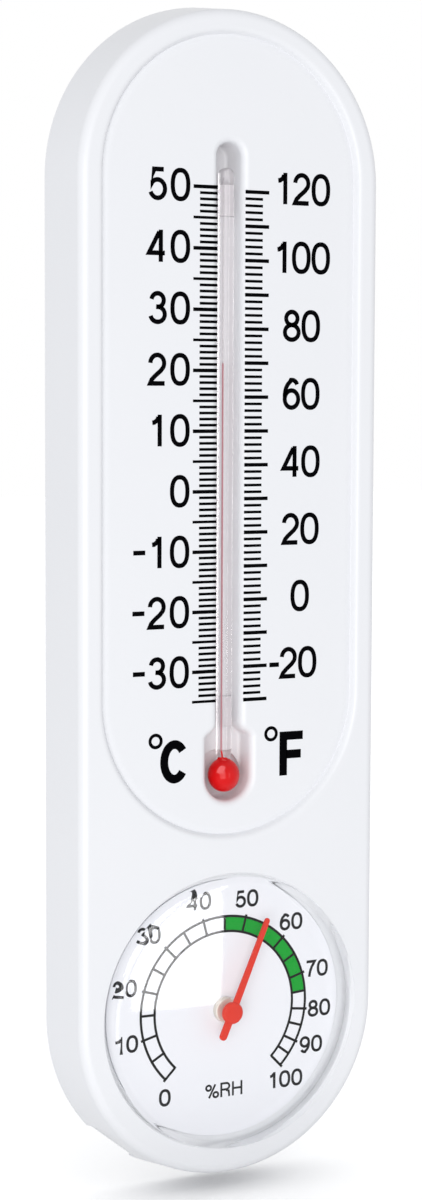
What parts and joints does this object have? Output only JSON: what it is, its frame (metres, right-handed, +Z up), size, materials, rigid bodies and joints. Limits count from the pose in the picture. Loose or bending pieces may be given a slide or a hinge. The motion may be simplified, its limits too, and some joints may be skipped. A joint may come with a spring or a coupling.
{
  "type": "outdoor thermo-hygrometer",
  "caption": "Wall instrument with a long round-ended housing, a red-liquid glass thermometer in a sunk panel and a round dial hygrometer under a clear domed lens.",
  "frame": {"origin": "on the back plane, in the middle of the housing's width and height", "axes": "+Z up along the housing, the front faces -Y, +X to the viewer's right"},
  "size_m": [0.0684, 0.0179, 0.2316],
  "materials": {
    "white_plastic": "glossy white moulded plastic",
    "back_plastic": "satin white moulded plastic",
    "clear_glass": "clear drawn glass",
    "red_liquid": "red dyed liquid seen through glass",
    "mastic": "cured white mastic",
    "clear_plastic": "clear polished plastic",
    "dial_white": "smooth printed sheet",
    "print_black": "black scale print",
    "print_green": "green scale print",
    "brass": "turned brass",
    "pointer_red": "red lacquered pointer",
    "steel": "zinc-plated steel",
    "coil_foil": "coated humidity-sensitive strip"
  },
  "bodies": {
    "housing": {"front_housing": "white_plastic", "rear_cover": "back_plastic", "cover_screw_1": "steel", "cover_screw_2": "steel", "cover_screw_3": "steel", "cover_screw_4": "steel", "glass_tube": "clear_glass", "bulb_liquid": "red_liquid", "liquid_thread": "red_liquid", "upper_tube_pad": "mastic", "lower_tube_pad": "mastic", "hygrometer_lens": "clear_plastic", "dial_plate": "dial_white", "dial_carrier": "back_plastic", "front_bushing": "brass", "movement_bridge": "steel", "carrier_screw_1": "steel", "carrier_screw_2": "steel", "bridge_screw_1": "steel", "bridge_screw_2": "steel"},
    "liquid": {"liquid_top": "red_liquid"},
    "regulator": {"regulator_arm": "brass", "calibration_stud": "brass", "humidity_coil": "coil_foil"},
    "pointer": {"pointer": "pointer_red", "pointer_arbor": "steel", "coil_collet": "brass"}
  },
  "joints": [
    {"name": "liquid_rise", "type": "slide", "parent": "housing", "child": "liquid", "axis": [0, 0, 1], "range_m": [-0.06575, 0.0337], "deforming": ["liquid_thread"]},
    {"name": "calibration_turn", "type": "hinge", "parent": "housing", "child": "regulator", "pos_m": [0, -0.004, -0.0814], "axis": [0, 1, 0], "range_deg": [-20, 20]},
    {"name": "pointer_turn", "type": "hinge", "parent": "regulator", "child": "pointer", "pos_m": [0, -0.0095, -0.0814], "axis": [0, 1, 0], "range_deg": [-158.4, 112.1], "stiffness_Nm_per_rad": 0.0001, "deforming": ["humidity_coil"]}
  ]
}
